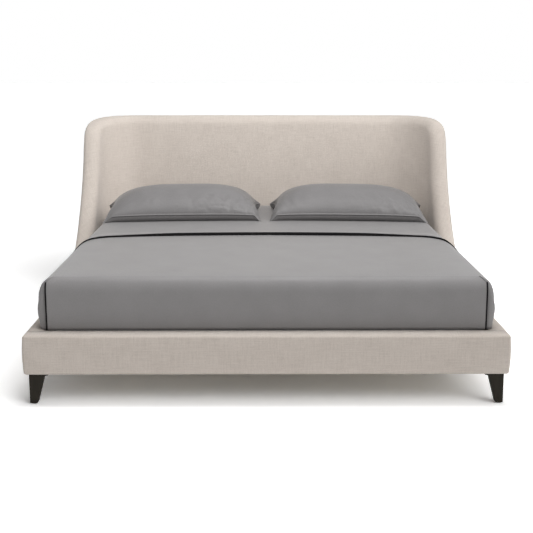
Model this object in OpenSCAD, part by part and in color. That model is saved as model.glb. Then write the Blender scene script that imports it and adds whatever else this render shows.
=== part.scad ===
// Upholstered king bed with a wrapped headboard whose wings sweep down onto the rails.
// +Z is up, the foot of the bed faces -Y, and the origin is on the floor under the
// centre of the bed. All sizes are in millimetres.

/* [Mattress] */
// Width of the mattress
mattress_w = 1930; // [1400:10:2340]
// Length of the mattress
mattress_l = 2030; // [1690:10:2440]
// Thickness of the mattress
mattress_t = 280; // [200:5:340]
// Radius of the mattress corners, seen from above
mattress_corner_r = 80; // [50:5:110]
// How far the mattress sits below the top of the rails
mattress_recess = 55; // [40:1:66]
// Gap between the mattress and the rails, all round
mattress_gap = 10; // [6:1:20]

/* [Bedding] */
// Thickness of the fitted sheet
sheet_t = 2; // [1:0.5:3]
// Thickness of the coverlet
coverlet_t = 5; // [3:0.5:8]
// Length of the mattress top that the coverlet covers
coverlet_l = 1016; // [700:1:1400]
// How far the coverlet stands out at the side of the mattress
coverlet_flare = 31; // [20:1:40]
// Depth of a pillow
pillow_d = 440; // [380:5:520]
// Height of a pillow's seam above the sheet
pillow_seam_z = 46; // [30:1:60]
// Height of a pillow's crown above its seam
pillow_crown = 150; // [90:1:165]
// Gap between the two pillows
pillow_gap = 80; // [40:5:160]
// How far a pillow stops short of the mattress side
pillow_side_gap = 10; // [5:5:60]
// Gap between the headboard and the middle of a pillow's seam
pillow_head_gap = 260; // [220:5:320]
// Angle by which a pillow turns to follow the curve of the wing
pillow_turn = 3.5; // [0:0.5:5]

/* [Rails] */
// Height of the rails, over their padding
rail_h = 176; // [150:1:210]
// Thickness of a rail's timber core
rail_core_t = 56; // [44:1:68]
// Thickness of the padding on a rail's outer face
rail_pad_t = 19; // [12:1:24]
// Thickness of the padding over a rail's top and bottom
rail_pad_edge = 12; // [8:1:16]
// Height of the rails above the floor
floor_gap = 137; // [110:1:165]

/* [Headboard] */
// Height of the headboard above the floor
headboard_h = 1120; // [930:5:1350]
// Thickness of the headboard, over its padding
headboard_t = 90; // [76:1:110]
// Backward lean of the headboard, in degrees
rake = 7; // [4:0.5:10]
// Inner radius where the back turns into a wing
wing_r = 250; // [205:5:300]
// Radius of the upper corners, seen from the front
corner_r = 145; // [120:5:180]
// Radius of the upper corners, seen from the side
shoulder_r = 180; // [150:5:215]
// Forward reach of a wing's edge below the upper corner
wing_reach_top = 212; // [180:1:250]
// Distance below the top where that reach is measured
wing_top_drop = 198; // [160:1:240]
// Forward reach of a wing's edge at its foot
wing_reach_foot = 964; // [800:1:1150]
// Radius of the sweep of a wing's edge
sweep_r = 1205; // [1100:5:1500]
// Height of the blunt nose at a wing's foot
wing_nose = 70; // [55:1:90]
// Thickness of the foam on the headboard's front
front_foam_t = 30; // [24:1:36]
// Thickness of the bent plywood shell
ply_t = 15; // [12:1:18]
// Thickness of the headboard's timbers
post_t = 35; // [30:1:42]
// Width of a headboard post
post_w = 90; // [70:1:110]

/* [Slat deck] */
// Width of a slat
slat_w = 90; // [60:1:110]
// Thickness of a slat
slat_t = 20; // [16:1:24]
// Width of a slat ledger
ledger_w = 40; // [32:1:48]
// Height of a slat ledger
ledger_h = 40; // [32:1:48]
// Width and height of the centre beam
beam_w = 70; // [56:1:84]
// Distance from the foot of the mattress to the first centre leg
centre_leg_start = 510; // [500:5:560]

/* [Legs] */
// Width of a leg at its top
leg_w = 84; // [70:1:100]
// Width of a leg at the floor
leg_foot_w = 33; // [27:1:40]
// Depth of a leg at its top, front to back
leg_t = 64; // [56:1:76]
// Radius of the flare under a leg's head
leg_flare_r = 24; // [20:1:28]
// Inset of a leg from the outer face of the rail
leg_inset = 18; // [14:1:22]
// Radius of a leg's bolt
leg_bolt_r = 4; // [3:0.5:5]
// Radius of a centre leg's tube
tube_r = 16; // [14:0.5:20]
// Radius of a levelling foot's threaded stem
stem_r = 4; // [4:0.5:6]
// Radius of a levelling foot's pad
pad_r = 22; // [18:1:28]

/* [Hidden] */
slat_names = ["slat_01", "slat_02", "slat_03", "slat_04", "slat_05", "slat_06",
    "slat_07", "slat_08", "slat_09", "slat_10", "slat_11", "slat_12"];
$fn = 64;

// Clearances, and sizes of the shapes that cut others
seat = 0.3;          // between a loose piece and what it rests on
bolt_clear = 0.2;    // round a bolt or screw in its hole
run_clear = 0.05;    // round a threaded stem
fit_clear = 0.5;     // round a timber inside upholstery
cut = 5;             // how far a cut runs past the face that it opens
reach = 1400;        // longer than any wing
tall = 2000;         // taller than the bed

// Colours
linen = [0.80, 0.76, 0.71];
grey_cotton = [0.55, 0.55, 0.56];
dark_wood = [0.16, 0.14, 0.12];
pine = [0.83, 0.70, 0.50];
plywood = [0.78, 0.63, 0.43];
steel = [0.60, 0.61, 0.63];
black_steel = [0.15, 0.15, 0.16];
ticking = [0.93, 0.92, 0.89];
felt = [0.35, 0.34, 0.33];

// Rails, measured from the foot of the mattress along Y and from the bed's centre along X
rail_x = mattress_w / 2 + mattress_gap;            // inner face of a side rail
core_x = rail_x + rail_core_t;                     // outer face of its core
wing_x = core_x + rail_pad_t;                      // outer face of its padding
foot_y = -mattress_gap;                            // inner face of the foot rail
foot_core_y = foot_y - rail_core_t;
foot_face_y = foot_core_y - rail_pad_t;
core_z = floor_gap + rail_pad_edge;
core_h = rail_h - 2 * rail_pad_edge;
rail_top = floor_gap + rail_h;
corner_pad_r = 20;                                 // vertical corners of the foot padding

// Slat deck
deck_z = rail_top - mattress_recess;               // top of the slats
slat_z = deck_z - slat_t;
ledger_z = slat_z - ledger_h;
beam_z = slat_z - beam_w;
mattress_z = deck_z + seat;
mattress_top = mattress_z + mattress_t;
sheet_top = mattress_top + sheet_t;

// Headboard: its front face passes through (head_y, deck_z), as near as the mattress
// corners allow inside the curve of the wings
corner_clear = 8;
corner_dx = mattress_w / 2 - mattress_corner_r - (wing_x - wing_r);
corner_room = wing_r - mattress_corner_r - corner_clear;
head_y = mattress_l - mattress_corner_r + wing_r - sqrt(pow(corner_room, 2) - pow(corner_dx, 2));
arc_x = wing_x - wing_r;
outer_x = wing_x + headboard_t;
frame_depth = front_foam_t + ply_t;                // front face to the timbers
cavity_depth = frame_depth + post_t;               // front face to the back of the timbers
rim_foam = 40;                                     // foam over the headboard's edges
base_t = 12;                                       // base board
timber_z = floor_gap + base_t;

// Sweep of the wings, as an arc through its top and its foot
sweep_top = [head_y - wing_reach_top, headboard_h - wing_top_drop];
sweep_foot = [head_y - wing_reach_foot, floor_gap];
sweep_chord = norm(sweep_top - sweep_foot);
sweep_along = (sweep_foot - sweep_top) / sweep_chord;
sweep_c = (sweep_top + sweep_foot) / 2
    + sqrt(sweep_r * sweep_r - sweep_chord * sweep_chord / 4) * [sweep_along[1], -sweep_along[0]];
shoulder_z = headboard_h - shoulder_r;
shoulder_y = sweep_c[0] + sqrt(pow(sweep_r + shoulder_r, 2) - pow(shoulder_z - sweep_c[1], 2));
nose_y = sweep_c[0] + sqrt(pow(sweep_r, 2) - pow(floor_gap + wing_nose - sweep_c[1], 2));

// The whole bed is centred on the origin
rear_y = head_y + headboard_t / cos(rake) + (headboard_h - deck_z) * tan(rake);
centre_y = (foot_face_y + rear_y) / 2;

// Slats
slat_count = len(slat_names);
slat_margin_foot = 60;                             // mattress foot to the first slat's edge
slat_margin_head = 110;                            // mattress head to the last slat's middle
slat_first = slat_w / 2 + slat_margin_foot;
slat_last = mattress_l - slat_margin_head;
slat_pitch = (slat_last - slat_first) / (slat_count - 1);
slat_end_gap = 2;

// Legs
leg_x = wing_x - leg_inset;                        // outer edge of a leg
glide_t = 3;
plate_t = 3;
leg_top = core_z - plate_t;
leg_front_y = foot_face_y + leg_inset;             // front of a front leg
leg_bolt_inset = 26;                               // bolt's axis from the leg's outer faces
leg_bolt_in = 60;                                  // grip in the leg and in the rail
leg_end_gap = 10;                                  // rear leg to the end of the core
plate_inset = [2, 4];                              // plate's edges inside the leg's, X and Y
glide_inset = 3;                                   // glide's edge inside the leg's foot
// The rear legs stand where a rail's core still has its full width
leg_rear_y = head_y + (floor_gap - deck_z) * tan(rake) - wing_r
    + sqrt(pow(wing_r, 2) - pow(core_x - arc_x, 2)) - leg_t - leg_end_gap;

// Bolts and screws
bolt_r = 4;
screw_r = 2.5;
screw_head_h = 1.5;
washer_r = 9;
washer_t = 2;
bolt_head_r = 7;
bolt_head_h = 4;
hole_rest = 2;                                     // depth of a blind hole past its bolt

// Corner brackets of the foot rail
bracket_l = 60;
bracket_t = 4;
bracket_foot = 1;                                  // bracket above the underside of the core
bracket_drop = 8;                                  // bracket below the top of the slats
bracket_z = core_z + bracket_foot;
bracket_h = deck_z - bracket_drop - bracket_z;
bracket_bolt_z = [bracket_h / 4, bracket_h * 3 / 4];
bracket_bolt_in = 0.6 * bracket_l;                 // bolts from the bracket's corner
bracket_hole_l = rail_core_t - 8;

// Wing blocks, which the side rails bolt to
block_w = 120;
block_bend_gap = 20;                               // block in front of the wing's bend
block_foam_gap = 44;                               // block behind the foam of the sweep
block_end = head_y + (floor_gap - deck_z) * tan(rake) - wing_r - block_bend_gap;
block_start = sweep_c[0] + block_foam_gap
    + sqrt(pow(sweep_r + rim_foam, 2) - pow(timber_z + block_w - sweep_c[1], 2));
wing_bolt_y = [block_start + 70, block_end - 60];
wing_bolt_rest = 5;                                // bolt's end inside the block's outer face
wing_bolt_z = timber_z + block_w / 2;
block_x = wing_x + frame_depth;

// Slat ledgers
ledger_x = rail_x - ledger_w;
ledger_start = bracket_l + 4;
ledger_end = mattress_l - 60;
screw_count = 8;
screw_margin = 60;                                 // first and last screw from the ledger's ends
screw_l = 70;

// Centre beam, its brackets and its legs
beam_end_gap = 6;
beam_shelf_l = 50;
beam_plate_t = 4;
beam_start = foot_y + beam_plate_t;
beam_end = head_y + (beam_z - deck_z) * tan(rake) - beam_plate_t - beam_end_gap;
leg_pitch = (mattress_l - 2 * centre_leg_start) / 2;
tube_wall = 1.5;
flange_r = 34;
flange_t = 3;
boss_l = 30;
boss_z = 24;
pad_lift = 1;                                      // the pads are turned just clear of the floor
pad_t = 8;
socket_l = 5;
collar_r = 8;
collar_h = 5;
stem_l = 56;

// Pillows
pillow_w = mattress_w / 2 - pillow_side_gap - pillow_gap / 2;
pillow_z = sheet_top + seat + pillow_seam_z;       // height of the seam
pillow_rear_y = head_y + (pillow_z - deck_z) * tan(rake) - pillow_head_gap;

// The coverlet's sides
coverlet_hem = 2;                                  // hem above the rail
coverlet_tuck = 6;                                 // hem inside the widest part
coverlet_wide_drop = 30;                           // widest part below the middle of the side
coverlet_round = 45;                               // height of the rounding at the top

// ---------- helpers ----------

module placed() {
    translate([0, -centre_y, 0]) children();
}

module on_side(side) {
    if (side < 0) mirror([1, 0, 0]) children();
    else children();
}

module both_sides() {
    for (side = [-1, 1]) on_side(side) children();
}

// A block from one corner to the other
module block(low, high) {
    translate(low) cube(high - low);
}

// A block with rounded vertical edges
module round_block(low, high, r) {
    for (x = [low[0] + r, high[0] - r], y = [low[1] + r, high[1] - r])
        translate([x, y, low[2]]) cylinder(r = r, h = high[2] - low[2]);
    block([low[0] + r, low[1], low[2]], [high[0] - r, high[1], high[2]]);
    block([low[0], low[1] + r, low[2]], [high[0], high[1] - r, high[2]]);
}

// A rod along X, from x1 to x2
module rod_x(r, x1, x2) {
    translate([x1, 0, 0]) rotate([0, 90, 0]) cylinder(r = r, h = x2 - x1);
}

// A rod along -Y, starting at the origin
module rod_back(r, l) {
    rotate([90, 0, 0]) cylinder(r = r, h = l);
}

// ---------- headboard shapes ----------

// Region in front of a surface that lies the given depth behind the front face
module plan_inside(depth, front) {
    for (side = [-1, 1]) translate([side * arc_x, -wing_r]) circle(r = wing_r + depth, $fn = 128);
    translate([-arc_x, -front]) square([2 * arc_x, front + depth]);
    translate([-wing_x - depth, -front]) square([2 * (wing_x + depth), front - wing_r]);
}

// Wrapped layer of the headboard between two depths, leaning back
module wrap(depth1, depth2) {
    translate([0, head_y, deck_z]) rotate([-rake, 0, 0]) translate([0, 0, -tall / 2])
        linear_extrude(height = 2 * tall) difference() {
            plan_inside(depth2, reach);
            plan_inside(depth1, reach + cut);
        }
}

// Outline seen from the front, drawn in by one inset at the top and another at the sides
module front_outline(inset, side_inset) {
    w = outer_x - side_inset;
    top = headboard_h - inset;
    r = corner_r - inset;
    rotate([90, 0, 0]) translate([0, 0, -2 * tall]) linear_extrude(height = 3 * tall) {
        translate([-w, 0]) square([2 * w, top - r]);
        translate([r - w, 0]) square([2 * (w - r), top]);
        for (side = [-1, 1]) translate([side * (w - r), top - r]) circle(r = r, $fn = 128);
    }
}

// Outline seen from the side, behind the sweep, drawn in by an inset
module side_outline(inset) {
    top = headboard_h - inset;
    shoulder = [shoulder_y, shoulder_z];
    wedge = 4 * shoulder_r;
    to_sweep = (sweep_c - shoulder) / norm(sweep_c - shoulder);
    rotate([90, 0, 90]) translate([0, 0, -tall]) linear_extrude(height = 2 * tall) difference() {
        translate([nose_y + inset, 0]) square([2 * tall, top]);
        translate(sweep_c) circle(r = sweep_r + inset, $fn = 256);
        difference() {
            polygon([shoulder, shoulder + [0, wedge], shoulder + wedge * to_sweep]);
            translate(shoulder) circle(r = shoulder_r - inset, $fn = 128);
        }
    }
}

// Layer of the headboard, drawn in from its edges and standing on a given height
module headboard_layer(depth1, depth2, inset, low) {
    intersection() {
        wrap(depth1, depth2);
        front_outline(inset, headboard_t - depth2);
        side_outline(inset);
        block([-tall, -tall, low], [tall, 2 * tall, tall]);
    }
}

// Everything behind the headboard's front face, which the rails are cut back to
module behind_headboard(clear) {
    difference() {
        block([-tall, 0, 0], [tall, 2 * tall, rail_top + 50]);
        translate([0, head_y, deck_z]) rotate([-rake, 0, 0]) translate([0, 0, -tall / 2])
            linear_extrude(height = 2 * tall) plan_inside(-clear, 3 * tall);
    }
}

// Upright timber of the headboard, leaning with it
module leaning_timber(x1, x2, z1, z2) {
    intersection() {
        translate([0, head_y, deck_z]) rotate([-rake, 0, 0])
            block([x1, frame_depth, -tall / 2], [x2, cavity_depth - bolt_clear, tall]);
        block([-tall, 0, z1], [tall, 2 * tall, z2]);
    }
}

module wing_bolt_holes(r, x1, x2) {
    for (y = wing_bolt_y) translate([0, y, wing_bolt_z]) rod_x(r, x1, x2);
}

// ---------- headboard ----------

module headboard_cover() {
    color(linen) placed() difference() {
        headboard_layer(0, headboard_t, 0, floor_gap);
        headboard_layer(front_foam_t, cavity_depth, rim_foam, 0);
        both_sides() wing_bolt_holes(bolt_r + bolt_clear, wing_x - cut, wing_x + front_foam_t + cut);
    }
}

module headboard_shell() {
    color(plywood) placed() difference() {
        headboard_layer(front_foam_t + bolt_clear, frame_depth - bolt_clear,
            rim_foam + fit_clear, timber_z);
        both_sides() wing_bolt_holes(bolt_r + bolt_clear, wing_x, wing_x + frame_depth + cut);
    }
}

module headboard_post(side) {
    color(pine) placed() on_side(side)
        leaning_timber(arc_x - post_w, arc_x, timber_z, headboard_h - rim_foam - fit_clear);
}

module headboard_top_rail() {
    color(pine) placed() leaning_timber(post_w - arc_x, arc_x - post_w,
        headboard_h - rim_foam - post_w, headboard_h - rim_foam - fit_clear);
}

module headboard_bottom_rail() {
    color(pine) placed() leaning_timber(post_w - arc_x, arc_x - post_w,
        timber_z, timber_z + block_w);
}

module headboard_base_board() {
    color(plywood) placed() intersection() {
        headboard_layer(front_foam_t + fit_clear, cavity_depth - fit_clear,
            rim_foam + fit_clear, floor_gap);
        block([-tall, 0, floor_gap], [tall, 2 * tall, timber_z]);
    }
}

module wing_block(side) {
    color(pine) placed() on_side(side) difference() {
        block([block_x, block_start, timber_z],
            [block_x + post_t - bolt_clear, block_end, timber_z + block_w]);
        wing_bolt_holes(bolt_r + bolt_clear, block_x - cut, block_x + post_t + cut);
    }
}

// ---------- rails ----------

// Rods on the axes of the bolts of the front and the rear leg
module leg_bolt_rods(r, z1, z2) {
    for (y = [leg_front_y + leg_bolt_inset, leg_rear_y + leg_t - leg_bolt_inset])
        translate([leg_x - leg_bolt_inset, y, z1]) cylinder(r = r, h = z2 - z1);
}

module side_rail(side) {
    color(pine) placed() on_side(side) difference() {
        block([rail_x, foot_y, core_z], [core_x, head_y, core_z + core_h]);
        behind_headboard(fit_clear);
        leg_bolt_rods(leg_bolt_r + bolt_clear, core_z - cut, core_z + leg_bolt_in + hole_rest);
        wing_bolt_holes(bolt_r + bolt_clear, rail_x - cut, core_x + cut);
        ledger_screw_holes(screw_r + bolt_clear);
        for (z = bracket_bolt_z) translate([0, foot_y + bracket_bolt_in, bracket_z + z])
            rod_x(bolt_r + bolt_clear, rail_x - cut, rail_x + bracket_hole_l);
    }
}

module side_rail_padding(side) {
    color(linen) placed() on_side(side) difference() {
        block([rail_x, foot_y, floor_gap], [wing_x, head_y, rail_top]);
        block([rail_x - cut, foot_y - cut, core_z], [core_x, head_y + cut, core_z + core_h]);
        behind_headboard(fit_clear);
        wing_bolt_holes(bolt_r + bolt_clear, core_x - cut, wing_x + cut);
        leg_recess(leg_rear_y);
        leg_recess(leg_front_y);
    }
}

module foot_rail() {
    color(pine) placed() difference() {
        block([-core_x, foot_core_y, core_z], [core_x, foot_y, core_z + core_h]);
        both_sides() {
            leg_bolt_rods(leg_bolt_r + bolt_clear, core_z - cut, core_z + leg_bolt_in + hole_rest);
            for (z = bracket_bolt_z) translate([rail_x - bracket_bolt_in, foot_y + cut, bracket_z + z])
                rod_back(bolt_r + bolt_clear, bracket_hole_l + cut);
        }
    }
}

module foot_rail_padding() {
    color(linen) placed() difference() {
        union() {
            round_block([-wing_x, foot_face_y, floor_gap],
                [wing_x, foot_face_y + 3 * corner_pad_r, rail_top], corner_pad_r);
            block([-wing_x, foot_face_y + corner_pad_r, floor_gap], [wing_x, foot_y, rail_top]);
        }
        block([-core_x, foot_core_y, core_z], [core_x, foot_y + cut, core_z + core_h]);
        both_sides() leg_recess(leg_front_y);
    }
}

// Room in the padding for a leg's head and its plate
module leg_recess(y) {
    block([leg_x - leg_w - fit_clear, y - fit_clear, floor_gap - cut],
        [leg_x + fit_clear, y + leg_t + fit_clear, core_z + 0.01]);
}

// ---------- fasteners of the rails ----------

module corner_bracket(side) {
    color(steel) placed() on_side(side) difference() {
        union() {
            block([rail_x - bracket_t, foot_y, bracket_z],
                [rail_x, foot_y + bracket_l, bracket_z + bracket_h]);
            block([rail_x - bracket_l, foot_y, bracket_z],
                [rail_x, foot_y + bracket_t, bracket_z + bracket_h]);
        }
        for (z = bracket_bolt_z) {
            translate([0, foot_y + bracket_bolt_in, bracket_z + z])
                rod_x(bolt_r + bolt_clear, rail_x - bracket_t - cut, rail_x + cut);
            translate([rail_x - bracket_bolt_in, foot_y + bracket_t + cut, bracket_z + z])
                rod_back(bolt_r + bolt_clear, bracket_t + 2 * cut);
        }
    }
}

// A fastener along X, with its head before the origin and its shank after it
module bolt_x(r, length, head_r, head_h) {
    rod_x(head_r, -head_h, 0);
    rod_x(r, -head_h / 2, length);
}

module bracket_bolts() {
    length = bracket_t + bracket_hole_l - hole_rest;
    color(steel) placed() both_sides() for (z = bracket_bolt_z) {
        translate([rail_x - bracket_t, foot_y + bracket_bolt_in, bracket_z + z])
            bolt_x(bolt_r, length, bolt_head_r, bolt_head_h);
        translate([rail_x - bracket_bolt_in, foot_y + bracket_t, bracket_z + z])
            rotate([0, 0, -90]) bolt_x(bolt_r, length, bolt_head_r, bolt_head_h);
    }
}

module wing_bolts() {
    color(steel) placed() both_sides() for (y = wing_bolt_y)
        translate([rail_x - washer_t, y, wing_bolt_z]) {
            rod_x(washer_r, 0, washer_t);
            bolt_x(bolt_r, block_x - rail_x + washer_t + post_t - wing_bolt_rest,
                bolt_head_r, bolt_head_h);
        }
}

// ---------- slat deck ----------

function screw_y(i) = ledger_start + screw_margin
    + i * (ledger_end - ledger_start - 2 * screw_margin) / (screw_count - 1);

module ledger_screw_holes(r) {
    for (i = [0 : screw_count - 1]) translate([0, screw_y(i), ledger_z + ledger_h / 2])
        rod_x(r, ledger_x - cut, ledger_x + screw_l + hole_rest);
}

module slat_ledger(side) {
    color(pine) placed() on_side(side) difference() {
        block([ledger_x, ledger_start, ledger_z], [rail_x, ledger_end, slat_z]);
        behind_headboard(fit_clear);
        ledger_screw_holes(screw_r + bolt_clear);
        wing_bolt_heads();
    }
}

// Pockets in a ledger for the heads of the wing bolts
module wing_bolt_heads() {
    for (y = wing_bolt_y) translate([0, y, wing_bolt_z])
        rod_x(washer_r + 3, rail_x - washer_t - bolt_head_h - hole_rest, rail_x + cut);
}

module ledger_screws() {
    color(steel) placed() both_sides() for (i = [0 : screw_count - 1])
        translate([ledger_x, screw_y(i), ledger_z + ledger_h / 2])
            bolt_x(screw_r, screw_l, 2 * screw_r, screw_head_h);
}

module slat(i) {
    y = slat_first + i * slat_pitch;
    color(pine) placed() block([slat_end_gap - rail_x, y - slat_w / 2, slat_z],
        [rail_x - slat_end_gap, y + slat_w / 2, deck_z]);
}

module centre_beam() {
    color(pine) placed() block([-beam_w / 2, beam_start, beam_z], [beam_w / 2, beam_end, slat_z]);
}

// Cheeks and shelf that hold an end of the beam, between two distances along Y
module beam_cradle(y1, y2) {
    t = beam_plate_t;
    block([-beam_w / 2 - t, y1, beam_z - t], [beam_w / 2 + t, y2, beam_z]);
    both_sides() block([beam_w / 2, y1, beam_z - t], [beam_w / 2 + t, y2, beam_z + beam_w / 2]);
}

module beam_bracket_foot() {
    color(black_steel) placed() {
        beam_cradle(foot_y, beam_start + beam_shelf_l);
        block([-beam_w, foot_y, beam_z - beam_plate_t], [beam_w, beam_start, slat_z]);
    }
}

module beam_bracket_head() {
    color(black_steel) placed() {
        intersection() {
            beam_cradle(beam_end - beam_shelf_l, head_y);
            in_front_of_plate(beam_plate_t / 2);
        }
        translate([0, head_y, deck_z]) rotate([-rake, 0, 0])
            block([-beam_w, -beam_plate_t, beam_z - beam_plate_t - deck_z], [beam_w, 0, -slat_t]);
    }
}

// Region in front of the bracket plate on the leaning headboard
module in_front_of_plate(depth) {
    translate([0, head_y, deck_z]) rotate([-rake, 0, 0])
        block([-tall, -tall, -tall], [tall, -depth, tall]);
}

// ---------- centre legs ----------

function centre_leg_y(i) = centre_leg_start + i * leg_pitch;

module centre_leg(i) {
    color(black_steel) placed() translate([0, centre_leg_y(i), 0]) difference() {
        union() {
            translate([0, 0, boss_z]) cylinder(r = tube_r, h = beam_z - boss_z);
            translate([0, 0, beam_z - flange_t]) cylinder(r = flange_r, h = flange_t);
        }
        translate([0, 0, boss_z + boss_l])
            cylinder(r = tube_r - tube_wall, h = beam_z - boss_z - boss_l - flange_t);
        translate([0, 0, boss_z - cut]) cylinder(r = stem_r + run_clear, h = boss_l + 2 * cut);
    }
}

module levelling_stem(i) {
    color(steel) placed() translate([0, centre_leg_y(i), 0]) {
        translate([0, 0, pad_lift + pad_t - socket_l + 0.1]) cylinder(r = stem_r, h = stem_l);
        translate([0, 0, pad_lift + pad_t + seat])
            rotate([0, 0, 30]) cylinder(r = collar_r, h = collar_h, $fn = 6);
    }
}

module levelling_pad(i) {
    color(felt) placed() translate([0, centre_leg_y(i), pad_lift]) difference() {
        union() {
            cylinder(r = pad_r, h = pad_t / 2);
            cylinder(r = pad_r * 0.6, h = pad_t);
        }
        translate([0, 0, pad_t - socket_l]) cylinder(r = stem_r + run_clear, h = socket_l + cut);
    }
}

// ---------- legs ----------

// Side of a leg of the given top width: upright outer edge at X = 0, the other edge
// slanting in to the foot, with a round flare under the head
module leg_profile(top_w) {
    neck_z = floor_gap - leg_flare_r;
    difference() {
        translate([-top_w, glide_t]) square([top_w, leg_top - glide_t]);
        polygon([[-top_w - 1, 0], [-leg_foot_w, 0], [leg_flare_r - top_w, neck_z],
            [-top_w - 1, neck_z]]);
        translate([-top_w, neck_z]) circle(r = leg_flare_r);
    }
}

// Leg with its outer corner at the origin, its faces looking towards +X and -Y
module leg_form() {
    intersection() {
        rotate([90, 0, 0]) translate([0, 0, -tall / 2])
            linear_extrude(height = tall) leg_profile(leg_w);
        rotate([90, 0, -90]) translate([0, 0, -tall / 2])
            linear_extrude(height = tall) leg_profile(leg_t);
    }
}

module leg_front(side) {
    color(dark_wood) placed() on_side(side) difference() {
        translate([leg_x, leg_front_y, 0]) leg_form();
        leg_bolt_rods(leg_bolt_r + bolt_clear, leg_top - leg_bolt_in - hole_rest, leg_top + cut);
    }
}

module leg_rear(side) {
    color(dark_wood) placed() on_side(side) difference() {
        translate([leg_x, leg_rear_y + leg_t, 0]) mirror([0, 1, 0]) leg_form();
        leg_bolt_rods(leg_bolt_r + bolt_clear, leg_top - leg_bolt_in - hole_rest, leg_top + cut);
    }
}

module leg_plates() {
    color(steel) placed() both_sides() difference() {
        for (y = [leg_front_y, leg_rear_y])
            block([rail_x + plate_inset[0], y + plate_inset[1], leg_top],
                [leg_x - plate_inset[0], y + leg_t - plate_inset[1], core_z]);
        leg_bolt_rods(leg_bolt_r + bolt_clear, leg_top - cut, core_z + cut);
    }
}

module leg_bolts() {
    color(steel) placed() both_sides()
        leg_bolt_rods(leg_bolt_r, leg_top - leg_bolt_in, core_z + leg_bolt_in);
}

module glides() {
    half = leg_foot_w / 2;
    color(felt) placed() both_sides() for (y = [leg_front_y + half, leg_rear_y + leg_t - half])
        translate([leg_x - half, y, 0]) cylinder(r = half - glide_inset, h = glide_t);
}

// ---------- mattress and bedding ----------

// Mattress grown by an amount at its sides and top, from a given height
module mattress_form(grow, low) {
    round_block([-mattress_w / 2 - grow, -grow, low],
        [mattress_w / 2 + grow, mattress_l + grow, mattress_top + grow], mattress_corner_r + grow);
}

module mattress() {
    color(ticking) placed() mattress_form(0, mattress_z);
}

module fitted_sheet() {
    color(grey_cotton) placed() difference() {
        mattress_form(sheet_t, mattress_z + 4);
        mattress_form(0, 0);
    }
}

module coverlet() {
    side = mattress_w / 2 + sheet_t;
    hem = rail_top + coverlet_hem;
    top = sheet_top + coverlet_t;
    right_side = [[side + coverlet_flare - coverlet_tuck, hem],
        [side + coverlet_flare, (hem + top) / 2 - coverlet_wide_drop],
        [side + coverlet_flare / 2, top - coverlet_round], [side + coverlet_t, top]];
    left_side = [for (i = [len(right_side) - 1 : -1 : 0]) [-right_side[i][0], right_side[i][1]]];
    color(grey_cotton) placed() difference() {
        translate([0, coverlet_l, 0]) rotate([90, 0, 0])
            linear_extrude(height = coverlet_l + sheet_t + coverlet_t)
                polygon(concat(right_side, left_side));
        mattress_form(sheet_t, 0);
    }
}

// Lens between two arcs that meet at the seam
module lens(width, rise, drop) {
    up_r = (pow(width / 2, 2) + rise * rise) / (2 * rise);
    low_r = (pow(width / 2, 2) + drop * drop) / (2 * drop);
    intersection() {
        translate([0, rise - up_r]) circle(r = up_r, $fn = 256);
        translate([0, low_r - drop]) circle(r = low_r, $fn = 256);
    }
}

module pillow(side) {
    edge = 10;                                     // how far inside the lens the pillow is cut
    color(grey_cotton) placed() on_side(side)
        translate([(pillow_gap + pillow_w) / 2, pillow_rear_y - pillow_d / 2, pillow_z])
        rotate([0, 0, -pillow_turn]) intersection() {
            rotate([90, 0, 0]) translate([0, 0, -pillow_d / 2]) linear_extrude(height = pillow_d)
                lens(pillow_w + 2 * edge, pillow_crown, pillow_seam_z);
            rotate([90, 0, 90]) translate([0, 0, -pillow_w / 2]) linear_extrude(height = pillow_w)
                lens(pillow_d + 2 * edge, pillow_crown, pillow_seam_z);
        }
}

// ---------- nodes ----------

headboard_cover();
headboard_shell();
headboard_post(-1);  // headboard_post_left
headboard_post(1);  // headboard_post_right
headboard_top_rail();
headboard_bottom_rail();
headboard_base_board();
wing_block(-1);  // wing_block_left
wing_block(1);  // wing_block_right
side_rail(-1);  // side_rail_left
side_rail(1);  // side_rail_right
foot_rail();
side_rail_padding(-1);  // side_rail_padding_left
side_rail_padding(1);  // side_rail_padding_right
foot_rail_padding();
corner_bracket(-1);  // corner_bracket_left
corner_bracket(1);  // corner_bracket_right
bracket_bolts();
wing_bolts();
slat_ledger(-1);  // slat_ledger_left
slat_ledger(1);  // slat_ledger_right
ledger_screws();
centre_beam();
beam_bracket_foot();
beam_bracket_head();
centre_leg(0);  // centre_leg_1
centre_leg(1);  // centre_leg_2
centre_leg(2);  // centre_leg_3
levelling_stem(0);  // levelling_stem_1
levelling_stem(1);  // levelling_stem_2
levelling_stem(2);  // levelling_stem_3
levelling_pad(0);  // levelling_pad_1
levelling_pad(1);  // levelling_pad_2
levelling_pad(2);  // levelling_pad_3
leg_front(-1);  // leg_front_left
leg_front(1);  // leg_front_right
leg_rear(-1);  // leg_rear_left
leg_rear(1);  // leg_rear_right
leg_plates();
leg_bolts();
glides();
mattress();
fitted_sheet();
coverlet();
pillow(-1);  // pillow_left
pillow(1);  // pillow_right
for (i = [0 : slat_count - 1]) slat(i);
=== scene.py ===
"""Looks of an upholstered king bed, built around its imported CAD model. Lengths are in metres."""

from collections import Counter
import math

import bmesh
import bpy
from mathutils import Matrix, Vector, noise


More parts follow.
